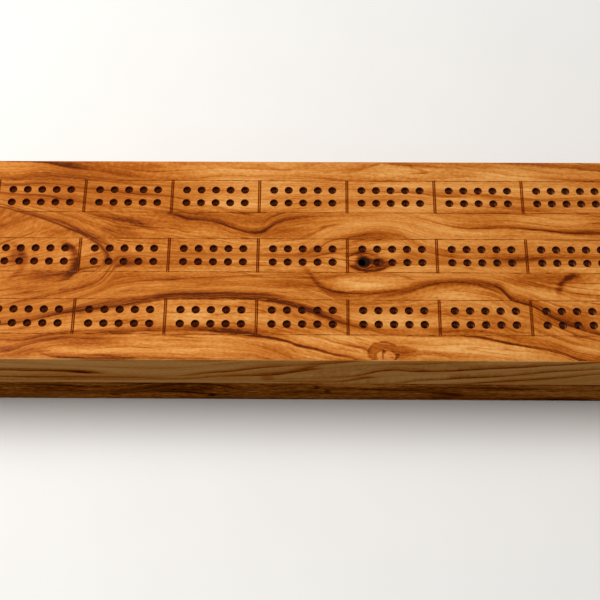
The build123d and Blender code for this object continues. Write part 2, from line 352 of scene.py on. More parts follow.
dress(olive_base, ("front_rail", "back_rail", "end_block"), 0.2)

# ---------------- panel under the case
# Thin birch plywood, let into a rabbet flush with the underside; the drawer runs on it.
# The drawer's own bottom is the same ply, so one finish serves both.

material, shader, point = new_finish("birch_plywood")
ply_y, ply_z = axes(point)[1:]
wave = point.drift((60, 22, 400), 2.0)
veneer = (wave * 7 + ply_y / 26 + point.drift((160, 3, 50)) * 0.9).fraction()
flecks = point.drift((7, 0.5, 1), 2.0).ease(0.52, 0.72)
plies = ((ply_z * 1.25).fraction() - 0.5).size().ease(0.2, 0.3)
facing = axes(point.node("NewGeometry", {}, {}, "Normal"))[2].size().ease(0.5, 0.7)
ply_tone = facing * ((veneer - 0.5).size() * 0.5 + flecks * 0.25) + (1 - facing) * plies
ply_colour = ply_tone.ramp(
    (0.0, shade(226, 200, 158)),
    (0.4, shade(214, 184, 138)),
    (1.0, shade(176, 138, 92)),
)
coat(shader, ply_colour, ply_tone * 0.1 + 0.5, flecks, 0.03)
dress(material, ("case_bottom_panel", "drawer_bottom_panel"))

# ---------------- magnets
# Two plated disc magnets, one let into the end block and one into the drawer's back, hold the
# drawer shut. The plating is bright, with the fine scuffs of the two meeting.

material, shader, point = new_finish("nickel_plating")
scuff = point.drift((3, 0.25, 0.25), 3.0).ease(0.45, 0.7)
nickel_colour = scuff.mix(shade(196, 194, 188), shade(150, 148, 144))
coat(shader, nickel_colour, scuff * 0.2 + 0.2, scuff, 0.004, metallic=1.0)
dress(material, ("case_magnet", "drawer_magnet"))

# ---------------- playing board
# One thick olive wood board, oiled. Its track is three streets joined by two turns: drilled rows
# of five, a lane line scored on each side, and a pair of fine scored lines between the fives.

board_low, board_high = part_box("playing_board")
board_middle = (board_low + board_high) / 2
seam_z = board_low.z
top_z = board_high.z
corner_ease = 0.6 * mm
hole_radius = 3.175 / 2 * mm
hole_depth = 12.7 * mm
hole_rim = 0.22 * mm  # countersink of each hole's mouth
drill_point = 0.9 * mm
drill_lift = 0.5 * mm  # each drill, and its countersink, begins this far over the wood
hole_pitch = 6.35 * mm
row_offset = hole_pitch / 2
block_pitch = 38.1 * mm
street_spacing = 28.9 * mm
track_setback = 0.75 * mm  # the track sits this far behind the board's middle line
street_y = (street_spacing + track_setback, track_setback, track_setback - street_spacing)
turn_radius = street_spacing / 2
track_end = 3.5 * block_pitch  # the turns begin this far from the board's middle
lane_half = 8.0 * mm
lane_start = board_middle.x - track_end - 4 * hole_pitch
lane_stop = board_middle.x + track_end + block_pitch + 2 * hole_pitch
pocket_depth = 6.35 * mm
router_radius = 6.35 * mm
score_width = 0.46 * mm
score_depth = 0.2 * mm
lane_width = 0.36 * mm
lane_depth = 0.16 * mm
score_pair = 0.85 * mm
score_overrun = 0.3 * mm


def piece(name, mesh_maker, materials, body=None):
    """A mesh piece, made by filling an empty bmesh; it rides on its body, if it has one."""
    mesh = bpy.data.meshes.new(name)
    work = bmesh.new()
    mesh_maker(work)
    bmesh.ops.recalc_face_normals(work, faces=work.faces)
    work.to_mesh(mesh)
    work.free()
    made = bpy.data.objects.new(name, mesh)
    bpy.context.scene.collection.objects.link(made)
    for material in materials:
        mesh.materials.append(material)
    if body:
        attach(made, body)
    return made


def block(work, low, high, ease=0.0, keep=lambda edge: True, segments=3):
    """A square block between two corners, the kept edges rounded."""
    made = bmesh.ops.create_cube(work, size=1.0)["verts"]
    middle = (low + high) / 2
    size = high - low
    for vert in made:
        vert.co = Vector(middle[axis] + vert.co[axis] * size[axis] for axis in range(3))
    if ease:
        edges = {edge for vert in made for edge in vert.link_edges if keep(edge)}
        bmesh.ops.bevel(work, geom=list(edges), offset=ease, segments=segments, profile=0.5, affect="EDGES")


def turned(work, start, axis, profile, sides):
    """A round form along an axis, from (distance, radius) pairs; a radius of 0 closes it to a point."""
    axis = Vector(axis)
    across = axis.orthogonal().normalized()
    other = axis.cross(across)
    rings = []
    for distance, radius in profile:
        centre = start + axis * distance
        if radius == 0:
            rings.append([work.verts.new(centre)])
            continue
        ring = []
        for side in range(sides):
            angle = 2 * math.pi * side / sides
            spoke = across * math.cos(angle) + other * math.sin(angle)
            ring.append(work.verts.new(centre + spoke * radius))
        rings.append(ring)
    for near, far in zip(rings, rings[1:]):
        for side in range(sides):
            after = (side + 1) % sides
            inner = [near[side % len(near)], near[after % len(near)]]
            outer = [far[after % len(far)], far[side % len(far)]]
            work.faces.new(dict.fromkeys(inner + outer))
    for ring in (rings[0], rings[-1]):
        if len(ring) > 1:
            work.faces.new(ring)


def score(work, path, width, depth):
    """A V-shaped cutter that follows a path on the board's top."""
    sections = []
    for number, here in enumerate(path):
        before = path[max(number - 1, 0)]
        after = path[min(number + 1, len(path) - 1)]
        heading = Vector((after[0] - before[0], after[1] - before[1])).normalized()
        side = Vector((-heading.y, heading.x)) * width
        sections.append((
            work.verts.new((here[0] + side.x, here[1] + side.y, top_z + depth)),
            work.verts.new((here[0] - side.x, here[1] - side.y, top_z + depth)),
            work.verts.new((here[0], here[1], top_z - depth)),
        ))
    for near, far in zip(sections, sections[1:]):
        for corner in range(3):
            after = (corner + 1) % 3
            work.faces.new((near[corner], near[after], far[after], far[corner]))
    work.faces.new(sections[0])
    work.faces.new(sections[-1])


def cut(target, cutter_maker, material):
    """Take a cutter's shape out of a piece for good, its cut faces in a finish of their own."""
    cutter = piece("cutter", cutter_maker, [material])
    boolean = target.modifiers.new("cut", "BOOLEAN")
    boolean.operation = "DIFFERENCE"
    boolean.solver = "EXACT"
    boolean.material_mode = "TRANSFER"
    boolean.object = cutter
    with bpy.context.temp_override(object=target, active_object=target):
        bpy.ops.object.modifier_apply(modifier=boolean.name)
    bpy.data.objects.remove(cutter)


def smooth(target, angle):
    """Shade a piece as round wherever its faces turn by less than an angle."""
    target.data.shade_smooth()
    target.data.set_sharp_from_angle(angle=math.radians(angle))


def track_holes():
    """The middle of every hole of the track, on the board."""
    for street in street_y:
        for number in range(7):
            for hole in range(5):
                for row in (-row_offset, row_offset):
                    yield (number - 3) * block_pitch + (hole - 2) * hole_pitch, street + row
    for end in (1, -1):
        for radius in (turn_radius - row_offset, turn_radius + row_offset):
            for hole in range(5):
                angle = math.radians(18 + 36 * hole)
                reach = end * (track_end + radius * math.sin(angle))
                yield reach, track_setback + end * turn_radius - radius * math.cos(angle)
    for hole in range(5):
        for row in (-row_offset, row_offset):
            yield 4 * block_pitch + (hole - 2) * hole_pitch, street_y[2] + row
    for hole in range(3):
        for row in (-row_offset, row_offset):
            yield -track_end - (hole + 1) * hole_pitch, street_y[0] + row
    yield track_end + block_pitch + hole_pitch, street_y[2]


def drill_holes(work):
    profile = (
        (-drill_lift, hole_radius + hole_rim + drill_lift),
        (hole_rim, hole_radius),
        (hole_depth - drill_point, hole_radius),
        (hole_depth, 0),
    )
    for x, y in track_holes():
        turned(work, Vector((board_middle.x + x, y, top_z)), (0, 0, -1), profile, 24)


def half_turn(end, radius):
    """The bend of a lane line round a turn."""
    steps = 24
    for step in range(steps + 1):
        angle = math.pi * step / steps
        reach = end * (track_end + radius * math.sin(angle))
        yield board_middle.x + reach, track_setback + end * turn_radius + radius * math.cos(angle)


def lane_lines(work):
    outer = turn_radius + lane_half
    inner = turn_radius - lane_half
    for side, first, second in ((1, outer, inner), (-1, inner, outer)):
        path = [(lane_start, street_y[0] + side * lane_half)]
        path += half_turn(1, first)
        path += half_turn(-1, second)
        path.append((lane_stop, street_y[2] + side * lane_half))
        score(work, path, lane_width, lane_depth)


def fives_lines(work):
    """The scored pairs between the fives, and the lines at the lane's two ends."""
    half = lane_half + score_overrun
    for street in street_y:
        for number in range(8):
            middle = board_middle.x + (number - 3.5) * block_pitch
            for side in (-0.5, 0.5):
                x = middle + side * score_pair
                score(work, [(x, street - half), (x, street + half)], score_width, score_depth)
    ends = ((lane_stop - 2 * hole_pitch, street_y[2]), (lane_stop, street_y[2]), (lane_start, street_y[0]))
    for x, street in ends:
        score(work, [(x, street - half), (x, street + half)], lane_width, lane_depth)


board_guides = (
    ((-200, 68, 0), (200, 68, 0)),
    ((-190, 57, 0), (0, 52, 0), (60, 49, 0.1), (88, 47.2, 0.7), (101, 46.5, 0.7), (113, 44.7, 0.7),
     (126, 43.4, 0.8), (150, 42.5, 0.6), (190, 43, 0.4)),
    ((-190, 55, 0), (-60, 47.5, 0), (-20, 44.5, 0.1), (-2, 43.8, 0.3), (12, 44.5, 0.2), (30, 47, 0.4),
     (42, 45.9, 0.7), (55, 44.7, 0.7), (65, 44.2, 0.35), (80, 42.6, 0.35), (92, 40.6, 0.3),
     (105, 39.6, 0.6), (126, 37.9, 0.7), (150, 37.5, 0.5), (190, 38, 0.3)),
    ((-190, 51, 0), (-150, 48.5, 0.3), (-126, 47.2, 0.8), (-115, 46.8, 0.8), (-105, 44.7, 0.8),
     (-91, 42.6, 0.6), (-79, 40.1, 0.6), (-66, 38.4, 0.5), (-51, 38.2, 0.5), (-35, 39.8, 0.6),
     (-19, 40, 0.5), (-2, 39.8, 0.4), (10, 38.7, 0.5), (23, 37.8, 0.5), (48, 37.8, 0.3), (65, 37.4, 0.1),
     (105, 36.3, 0.1), (126, 35, 0.1), (190, 34, 0.1)),
    ((-190, 46, 0.2), (-150, 41.5, 0.3), (-126, 38, 0.5), (-118, 39.4, 0.5), (-108, 39.2, 0.5),
     (-93, 37.9, 0.4), (-76, 35.7, 0.5), (-58, 34.3, 0.4), (-48, 32.9, 0.4), (0, 32.6, 0.4),
     (25, 33.2, 0.3), (44, 33.2, 0.5), (59, 31.8, 0.6), (76, 31, 0.6), (88, 29.3, 0.5), (101, 28, 0.5),
     (126, 28.4, 0.4), (190, 27.5, 0.3)),
    ((-190, 42, 0.3), (-150, 35, 0.4), (-126, 30, 0.5), (-112, 29.3, 0.5), (-95, 26.2, 0.5), (-77, 24, 0.3),
     (-60, 21.3, 0.6), (-54, 20, 0.8), (-50, 18.5, 0.8), (-41.7, 17.9, 0.7), (-35, 15.9, 0.7),
     (-29, 13.5, 0.8), (-22.5, 12, 0.85), (-18.3, 12, 0.9), (-14.2, 14.8, 0.8), (-10, 17.2, 0.7),
     (-4.2, 18.8, 0.6), (3, 19.5, 0.5), (12, 19.9, 0.3), (30, 20.2, 0.2), (47, 19.7, 0.4), (59, 16.3, 0.5),
     (67, 14.3, 0.8), (80, 13.8, 0.9), (88, 14.7, 0.8), (101, 13.7, 0.9), (113, 12.3, 0.9), (126, 12, 0.8),
     (150, 11, 0.6), (190, 12.5, 0.5)),
    ((-190, 37, 0.5), (-150, 29.5, 0.5), (-126, 23.8, 0.7), (-118, 21, 0.7), (-109, 18, 0.7),
     (-101, 14.7, 0.7), (-92.7, 10, 0.7), (-84.3, 5.5, 0.6), (-80, 2.5, 0.4), (-60, 1.8, 0.15),
     (-40, 1.2, 0.1), (-16.3, 0.8, 0.35), (-1.3, 0.8, 0.4), (7, 4.5, 0.3), (12, 8, 0.4), (22.8, 10, 0.6),
     (30.3, 12.2, 0.6), (39.5, 11.3, 0.6), (46.7, 7.2, 0.5), (55, 2.5, 0.4), (65, 0.4, 0.4),
     (80, -0.3, 0.5), (93, -1.2, 0.5), (101, 0.1, 0.4), (126, 0.5, 0.2), (190, 3, 0.2)),
    ((-190, -36, 0.4), (-150, -28, 0.5), (-126, -22.8, 0.6), (-118, -21.6, 0.6), (-105, -18.7, 0.6),
     (-92.7, -15, 0.6), (-86, -12, 0.6), (-81.4, -5.3, 0.5), (-78.5, -0.5, 0.3), (-60, -0.6, 0.1),
     (-40, -1, 0.1), (-16, -1.8, 0.3), (-10, -2.2, 0.5), (8, -2.5, 0.5), (18, -5.5, 0.4), (25, -6.8, 0.5),
     (34, -5.6, 0.4), (44, -3.8, 0.3), (60, -3.5, 0.2), (80, -4.5, 0.15), (126, -4, 0.15), (190, -4, 0.2)),
    ((-190, -40, 0.2), (-150, -33.5, 0.2), (-126, -27.5, 0.3), (-101, -22.5, 0.3), (-86, -17, 0.3),
     (-75, -12, 0.25), (-40, -10, 0.2), (-10, -9.3, 0.2), (5, -10, 0.3), (12, -9.8, 0.35), (20, -8, 0.3),
     (27, -7.5, 0.2), (38, -8.2, 0.12), (46, -9.4, 0.1), (56, -9.4, 0.15), (67.5, -8.5, 0.2),
     (80, -10, 0.2), (92, -14, 0.2), (105, -18, 0.2), (126, -22, 0.2), (190, -25, 0.2)),
    ((-190, -42, 0.2), (-150, -35.5, 0.2), (-126, -29.6, 0.2), (-101, -24.6, 0.2), (-86, -20, 0.2),
     (-75, -17, 0.2), (-50, -15, 0.2), (-30, -14, 0.2), (-10, -14.3, 0.3), (3, -14, 0.3), (9.2, -15.4, 0.1),
     (14.2, -17.7, 0.1), (25, -18.3, 0.1), (37.5, -16.8, 0.1), (46.7, -14.3, 0.1), (51.7, -12.6, 0.1),
     (58.3, -11.2, 0.1), (66.7, -11.2, 0.1), (75, -12.3, 0.3), (82.5, -14.3, 0.9), (85, -16.8, 1),
     (87.5, -19.6, 1), (95.8, -22.6, 1), (101, -25.6, 0.95), (109, -30.3, 0.9), (120, -34.5, 0.9),
     (126, -36.2, 0.8), (150, -39, 0.6), (190, -39, 0.5)),
    ((-190, -43.5, 0.4), (-150, -37.5, 0.5), (-126, -32, 0.8), (-113.5, -30, 0.85), (-101, -27, 1),
     (-91, -25.3, 1.05), (-79, -23.7, 1.05), (-67.7, -22, 1), (-55, -19.8, 0.9), (-42.7, -20, 0.9),
     (-23, -19.9, 0.95), (-13, -20.8, 0.95), (-4.7, -22.8, 0.9), (3.7, -25.8, 0.9), (12, -29, 0.9),
     (18.7, -31.2, 0.8), (27, -33.3, 0.7), (35.3, -35.6, 0.6), (45, -36.5, 0.6), (58, -36.8, 0.6),
     (66, -36.5, 0.8), (71.7, -36.9, 1.1), (81.7, -38.9, 1.1), (91.7, -41, 1.1), (104, -43.5, 1.1),
     (111.7, -46.4, 1.1), (118, -47.9, 1), (150, -53, 0), (190, -57, 0)),
    ((-190, -48, 0.3), (-150, -43, 0.4), (-125, -38.9, 0.6), (-115, -38.9, 0.7), (-104, -36.6, 0.6),
     (-95, -36.1, 0.5), (-85, -36.2, 0.6), (-73, -35.6, 0.8), (-66.7, -34.6, 0.8), (-58, -34.3, 0.8),
     (-41.7, -34.5, 0.8), (-29, -35.6, 1), (-18.3, -37.3, 1.1), (-8.3, -38.9, 1.1), (0, -41.8, 1.1),
     (6.7, -43.1, 1.1), (13.3, -44.8, 1), (20, -46, 0.9), (25, -47.7, 0.7), (45, -50, 0), (70, -52, 0),
     (110, -55, 0), (190, -60, 0)),
    ((-190, -54, 0), (-150, -49, 0.3), (-126, -45, 0.5), (-120, -43.9, 0.5), (-114, -41.2, 0.6),
     (-105.8, -39.2, 0.6), (-97.5, -38.2, 0.5), (-90, -38.3, 0.3), (-66.7, -38.8, 0.3), (-50, -39.5, 0.35),
     (-33, -40, 0.35), (-21, -41, 0.35), (-12.5, -43.2, 0.4), (-4, -46.6, 0.3), (20, -52, 0), (100, -58, 0),
     (190, -64, 0)),
    ((-200, -69, 0), (200, -69, 0)),
)

board_extra_lines = carried_on(
    ((40, -24, 0), (56.7, -26.4, 0.4), (69, -28.7, 0.55), (76.7, -29.8, 0.55), (86.7, -33.7, 0.6),
     (93.3, -35.3, 0.5), (105, -38, 0)),
    ((-112, -43, 0), (-108, -44.8, 0.5), (-103, -46, 0.8), (-95, -46.8, 0.9), (-85, -47.1, 0.9),
     (-75, -46.8, 0.9), (-62.5, -46.6, 0.8), (-54, -46.8, 0.8), (-45, -47.4, 0.7), (-37.5, -48, 0.5),
     (-30, -49, 0)),
    ((-24, -34, 0), (-12, -34.6, 0.5), (0, -36, 0.8), (8.3, -37.7, 0.9), (16.7, -40.2, 0.9),
     (25, -41.8, 0.8), (28.5, -43.6, 0.4), (36, -46, 0)),
    ((-6, -42.5, 0), (2, -43.6, 0.4), (8.3, -45.6, 0.6), (19, -47.6, 0.5), (24, -48.5, 0)),
    ((36, -47, 0), (39, -46, 0.4), (46.7, -44.8, 0.5), (51.7, -44.2, 0.6), (56.7, -44.8, 0.5),
     (61.7, -46, 0.4), (66, -47, 0)),
    ((14, 0, 0), (18, -2, 0.7), (21, -4.6, 0.9), (25, -6.3, 1), (31, -6.4, 1), (36, -4.6, 0.8),
     (41, -2.4, 0.3), (46, -1, 0)),
    ((14, 3, 0), (18, 0, 0.6), (21, 1.2, 0.9), (24, 2.2, 0.95), (28, 1.6, 0.8), (32, 0.4, 0.5), (36, 0, 0)),
    ((-6, 8, 0), (2, 9.7, 0.5), (8.7, 13.8, 0.5), (17, 16.3, 0.4), (25, 17, 0)),
    ((-96, 21.5, 0), (-90, 20.5, 0.5), (-77, 17, 0.5), (-66, 13.4, 0.6), (-60, 12, 0)),
    ((-28, 46.5, 0), (-20, 45.2, 0.4), (-12.7, 44, 0.5), (-9, 43, 0.5), (-3.8, 44, 0.4), (5, 45.8, 0.3),
     (12, 47, 0)),
    ((12, 40.5, 0), (18, 41.6, 0.4), (25, 43.5, 0.5), (31.8, 45.8, 0.6), (36, 47.5, 0.6), (44, 50, 0)),
    ((-22, 0, 0), (-16.3, 0.1, 0.4), (-1.3, 0.1, 0.45), (8.7, 1.3, 0.5), (17, 3.8, 0.5), (22.8, 6.3, 0.4),
     (30, 8, 0)),
)
board_extra_lines.append(
    ((-200, 36, 0.2), (-126, 34.5, 0.3), (-100, 33.5, 0.3), (-70, 30, 0.3), (-40, 27.5, 0.25),
     (0, 26, 0.15), (40, 26.5, 0.2), (80, 24, 0.35), (126, 21, 0.3), (200, 20, 0.2)),
)

board_bands = carried_on(
    ((-6, -4, 0), (1, -6, 0.3), (5, -11, 0.48), (9, -14.8, 0.5), (16, -17.2, 0.46), (25, -17.8, 0.46),
     (34, -17.2, 0.46), (42, -15.5, 0.46), (50, -13, 0.48), (58, -12, 0.5), (68, -11.8, 0.5),
     (78, -12.8, 0.5), (84, -15.5, 0.4), (90, -20, 0)),
    ((-80, -22.6, 0), (-66, -20.4, 0.5), (-55, -18.4, 0.7), (-40, -18.5, 0.74), (-23, -18.4, 0.74),
     (-12, -19.4, 0.7), (-4, -21.6, 0.5), (4, -25, 0)),
    ((76, -0.5, 0), (86, -1, 0.4), (95, -0.6, 0.62), (103, 0.2, 0.45), (112, 0.5, 0.3), (126, 0, 0.2)),
    ((-98, 21, 0), (-90, 20.5, 0.35), (-80, 18.5, 0.45), (-70, 16, 0.4), (-62, 13, 0.3), (-54, 12, 0)),
    ((40, -34, 0), (56, -34.6, 0.3), (70, -34.4, 0.45), (84, -36.5, 0.45), (98, -39.5, 0.45),
     (110, -43, 0.45), (120, -45.5, 0.45), (190, -52, 0)),
)

# Darker and paler places of the board's figure
board_patches = (
    (-95, 4, 62, 42, 0.08), (-96, 42, 34, 8, 0.22), (-18, 42, 46, 7, -0.2), (50, 33, 100, 4, -0.2),
    (63, 26, 34, 4.4, -0.3), (-27, 26, 28, 4, -0.2), (-28, 18.5, 90, 5, 0.18), (106, 18, 22, 4.5, -0.26),
    (-9, 11.5, 15, 4, 0.26), (-81, 11.5, 13, 4, 0.2), (-103, 12, 14, 2.6, 0.14), (24, 17, 20, 2.6, -0.16),
    (30, 9.6, 13.5, 2.8, 0.34), (-100, 4.4, 4.5, 2.2, 0.28), (-97, -6, 3.2, 4.2, 0.2),
    (-107, -9.5, 12, 3.4, 0.26), (-76, -2.2, 8.5, 3.6, 0.28), (-50, 0, 26, 4, 0.12), (-122, 0, 4, 5, 0.3),
    (8, 1, 12, 4, 0.14), (60, 0, 10, 4, 0.16), (86, 0.5, 12, 4, 0.14), (29.5, -2.4, 9.5, 4.6, 0.34),
    (32.2, -2.2, 3, 2.1, 0.55), (37, -2.4, 3, 1.5, 0.2), (22.4, -4.4, 3.4, 1.3, 0.34),
    (24.2, 1.1, 2.2, 1.3, 0.34), (27.5, -12, 13.5, 4.4, -0.3), (46, 0.5, 8, 3, 0.2),
    (27, -8.6, 22, 1.8, 0.18), (72, 41, 60, 5, -0.14), (-117, 32, 20, 4, -0.12), (-40, -39, 40, 3, -0.14),
    (62, -38.6, 24, 2.4, -0.16), (0, -10.5, 16, 5, 0.24), (-44, -12, 16, 5, 0.14), (-117, -14, 14, 6, 0.16),
    (105, -10.5, 26, 5, 0.32), (66, -17.6, 15, 3, -0.14), (26, -19, 12, 2, -0.2),
    (114.5, -8.6, 4.5, 1.6, 0.2), (-36, -28.4, 26, 4.4, -0.26), (36, -28.4, 24, 4.4, -0.26),
    (110, -28.4, 20, 5, 0.24), (-94, -38.5, 24, 4.4, 0.3), (10, -38.4, 30, 4, -0.36),
    (-117, -44.4, 14, 4, 0.32), (72, -42.6, 34, 3.6, -0.24), (64, -45.6, 14, 2.6, 0.2),
    (16, -44.4, 22, 4, -0.3), (116, -44, 12, 4, -0.2), (-50, -44, 50, 3.4, -0.06),
    (-86, -43.2, 20, 2.2, -0.1),
)

material, shader, point = new_finish("olive_wood_top")
top_x, top_y, top_depth = axes(point)
along = top_x - case_middle_x
flat = on_face(along, top_y)
ragged = (point.drift((3, 1.2, 3), 3.0, 0.6) - 0.5) * 1.6
lines, level = olive_figure(point, along, top_y, board_guides, board_extra_lines, board_bands)

# Nested arcs of a swirl that opens to the left, dark along its nose
bend = (point.drift((16, 8, 20), 3.0) - 0.5) * 6
arc = along + (top_y + 0.5).size() ** 1.76 * 0.1765 + bend
inner_arc = along + (top_y + 2.6).size() ** 2.4 * 0.026 + bend * 0.7 + ragged
in_swirl = arc.ease(-80.5, -84)
nose = top_y.ease(9, 4) * top_y.ease(-14, -9)
torn = inner_arc + 95.5 + ragged * 1.6
swirl_lines = torn.ease(-5.0, -0.6) * torn.ease(1.4, 0.0) * nose * 0.7
swirl_lines = swirl_lines.above((arc + 82.6).size().ease(2.4, 0.0) * 0.6 * top_y.ease(-8, -1))
swirl_lines = swirl_lines.above((inner_arc + 119).size().ease(2.6, 0.0) * 0.3 * nose)
swirl_level = top_y * 0.7 - arc * 0.16 + 30
level = level * (1 - in_swirl) + swirl_level * in_swirl
lines = lines * (1 - in_swirl) + swirl_lines * arc.ease(-76.0, -81.0)

tone, grain = olive_tone(top_x, level, top_depth, lines * 0.72)
tone = blotches(tone, flat, board_patches) + 0.34

# The large knot: a black eye round one hole, with a pale crescent under it that is a painted highlight
eye = flat.oval((26.0, -2.3), (2.7, 2.4)) + ragged * 0.14
painted_highlight_crescent = (eye - 1.22).size().ease(0.2, 0.0) * top_y.ease(-2.8, -4.0)
tone = tone + eye.ease(1.7, 0.9) * 0.5 - painted_highlight_crescent * 0.55

# A dark hook of grain by the right end of the track
hook = (flat.oval((118, -16.4), (10.2, 8.6)) + ragged * 0.11 - 1.0).size().ease(0.24, 0.0)
tone = tone + hook * along.ease(119, 112) * top_y.ease(-21, -14) * 0.34

# The small knot by the front edge: a brown halo with a tail to the right, a pink heart, dark specks
halo = flat.oval((33.6, -43.8), (6.6, 4.6)).below(flat.oval((40.5, -42.8), (7.0, 1.7)))
halo = halo + (point.drift((2.4, 2.4, 6), 2.0) - 0.5) * 0.35
halo_rim = (halo - 1.0).size().ease(0.14, 0.0) * along.ease(46, 34)
heart = flat.oval((34.4, -46.0), (4.2, 3.4)) + (point.drift((2, 2, 6), 2.0) - 0.5) * 0.6
heart_rim = (heart - 0.98).size().ease(0.2, 0.0)
tone = tone + halo.ease(1.08, 0.92) * 0.26 + halo_rim * 0.22
tone = tone - heart.ease(1.1, 0.8) * 0.38 + heart_rim * 0.12
for speck, reach, dark in (
    ((33.6, -43.7), (0.8, 0.7), 0.9),
    ((33.2, -45.4), (0.4, 1.7), 0.6),
    ((36.9, -46.2), (0.9, 0.3), 0.5),
):
    tone = tone + flat.oval(speck, reach).ease(1.4, 0.4) * dark

# The burn of the scored pairs, which tints the wood between their two lines
pitch, spacing, setback = block_pitch / mm, street_spacing / mm, track_setback / mm
half, reach = lane_half / mm, track_end / mm
from_pair = (((along / pitch).fraction() - 0.5) * pitch).size()
from_street = (((top_y - setback) / spacing + 0.5).fraction() - 0.5).size() * spacing
burn = from_pair.ease(0.85, 0.35) * from_street.ease(half + 0.5, half + 0.1)
tone = tone + burn * along.size().ease(reach + 2.15, reach + 1.15) * 0.3

colour = olive_colour(tone, grain)
colour = eye.ease(1.1, 0.85).mix(colour, shade(26, 11, 4))
colour = (heart.ease(1.0, 0.6) * 0.2).mix(colour, shade(208, 124, 66))
coat(shader, colour, tone * 0.12 + 0.42, grain.drift((14, 0.28, 2), 3.0) - tone * 0.3, 0.05, specular=0.12)
shader.inputs["Specular Tint"].default_value = (*shade(255, 214, 160), 1.0)
olive_top = material

side_guides = (
    ((-200, 60, 0), (200, 60, 0)),
    ((-190, 44, 0.3), (-126, 41, 0.4), (-100, 37.5, 0.4), (-88, 36.2, 0.5), (-75, 35.7, 0.5),
     (-60, 35.5, 0.3), (-45, 36.5, 0.1), (-30, 40, 0.1), (-15, 43, 0.1), (5, 46, 0), (50, 52, 0),
     (190, 56, 0)),
    ((-190, 30, 0.6), (-126, 32.6, 0.8), (-115, 32.2, 0.9), (-95, 31.5, 0.9), (-86, 29.5, 0.7),
     (-76, 27.2, 0.3), (-60, 26.4, 0.3), (-48, 27.5, 0.6), (-40, 30, 0.7), (-30, 31.8, 0.8),
     (-22, 34.5, 0.8), (-12, 37.2, 0.8), (-3, 39, 0.6), (7, 40.5, 0.8), (13, 42, 0.8), (20, 43.5, 0.7),
     (28, 45, 0.5), (50, 48, 0), (190, 53, 0)),
    ((-190, 25, 0.5), (-115, 25, 0.5), (-86, 25.3, 0.5), (-70, 24.5, 0.5), (-60, 23.2, 0.5), (-45, 24, 0.5),
     (-38, 26, 0.4), (-30, 27, 0.6), (-20, 27.5, 0.8), (-10, 29, 0.9), (-3, 32, 0.9), (3, 34, 0.6),
     (10, 36, 0.3), (20, 38.5, 0.2), (30, 40.5, 0.2), (45, 41, 0.5), (60, 42, 0.4), (75, 44, 0.3),
     (100, 46.5, 0), (190, 50, 0)),
    ((-190, 21, 0.3), (-115, 21.8, 0.3), (-60, 21.6, 0.3), (-30, 22.5, 0.1), (-10, 24, 0.2), (0, 25, 0.2),
     (10, 26, 0.3), (20, 27, 0.6), (25, 29, 0.8), (30, 32, 0.9), (35, 34, 0.9), (40, 34.3, 0.8),
     (45, 33.2, 0.8), (50, 32.8, 0.8), (60, 33.5, 0.8), (70, 35, 0.9), (80, 36.5, 0.9), (90, 38, 0.9),
     (100, 40, 0.9), (110, 41.5, 0.8), (126, 44.5, 0.7), (190, 49, 0)),
    ((-190, 18, 0), (-60, 19, 0), (-25, 20, 0.1), (-5, 20.8, 0.5), (5, 20.5, 0.6), (15, 21, 0.6),
     (22, 23.5, 0.7), (28, 25.5, 0.5), (36, 27, 0.2), (60, 29.5, 0.1), (80, 32, 0.1), (100, 36, 0.1),
     (126, 40, 0.3), (190, 45, 0.4)),
    ((-190, 16, 0), (-5, 17, 0), (20, 18.2, 0.2), (43, 20, 0.6), (47, 22, 0.7), (60, 24, 0.7),
     (70, 26, 0.8), (80, 27.5, 0.8), (90, 29.5, 0.7), (100, 32.5, 0.8), (107, 34, 0.8), (115, 35, 0.7),
     (126, 37, 0.6), (190, 41, 0.5)),
    ((-190, 12, 0), (40, 15.5, 0), (70, 19.5, 0.7), (80, 21, 0.9), (90, 23, 0.9), (100, 25, 0.8),
     (110, 27, 0.8), (115, 28.5, 0.7), (126, 31, 0.6), (190, 36, 0.5)),
    ((-200, -20, 0), (200, 0, 0)),
)
side_extra_lines = carried_on(
    ((-105, 31.5, 0), (-98, 31, 0.7), (-90, 30, 0.9), (-84, 30, 0)),
    ((-6, 35, 0), (-1, 35, 0.5), (5, 38, 0.5), (10, 39, 0)),
)

side_patches = (
    (-92, 31, 14, 2.4, 0.2), (-100, 24.5, 34, 3.5, 0.14), (-72, 20.9, 48, 1.3, -0.3),
    (-14.5, 25, 4, 4, 0.24), (3, 36, 5, 3, 0.22), (27, 26.5, 5, 2.2, 0.18), (-82, 44.2, 14, 1.3, 0.4),
    (-42, 43.8, 13, 1.3, 0.25), (70, 22.5, 22, 1.6, -0.16), (60, 39, 50, 3, 0.08),
)

material, shader, point = new_finish("olive_wood_edge")
edge_x, edge_y, edge_z = axes(point)
along = edge_x - case_middle_x
lines, level = olive_figure(point, along, edge_z, side_guides, side_extra_lines)
tone, grain = olive_tone(edge_x, level, edge_y, lines, 0.75)
tone = blotches(tone, on_face(along, edge_z), side_patches) + 0.08
relief = grain.drift((14, 0.28, 2), 3.0)
coat(shader, olive_colour(tone, grain), tone * 0.12 + 0.55, relief, 0.05, specular=0.0)
olive_edge = material

material, shader, point = new_finish("olive_wood_end_grain")
rings = point.oval((0, 22, -58), (1, 1, 1)) + point.drift((60, 16, 16)) * 9
late_wood = (rings / 3.1).fraction() ** 3
pores = point.drift((1, 0.45, 0.45), 1.0).ease(0.6, 0.72)
rays = point.drift((1.25, 1.25, 1.25)) - 0.5
tone = late_wood * 0.35 + pores * 0.2 + rays * 0.2 + point.drift((60, 20, 9)) * 0.4 + 0.28
coat(shader, olive_colour(tone, point), tone * 0.1 + 0.5, pores, 0.05, specular=0.12)
olive_end = material

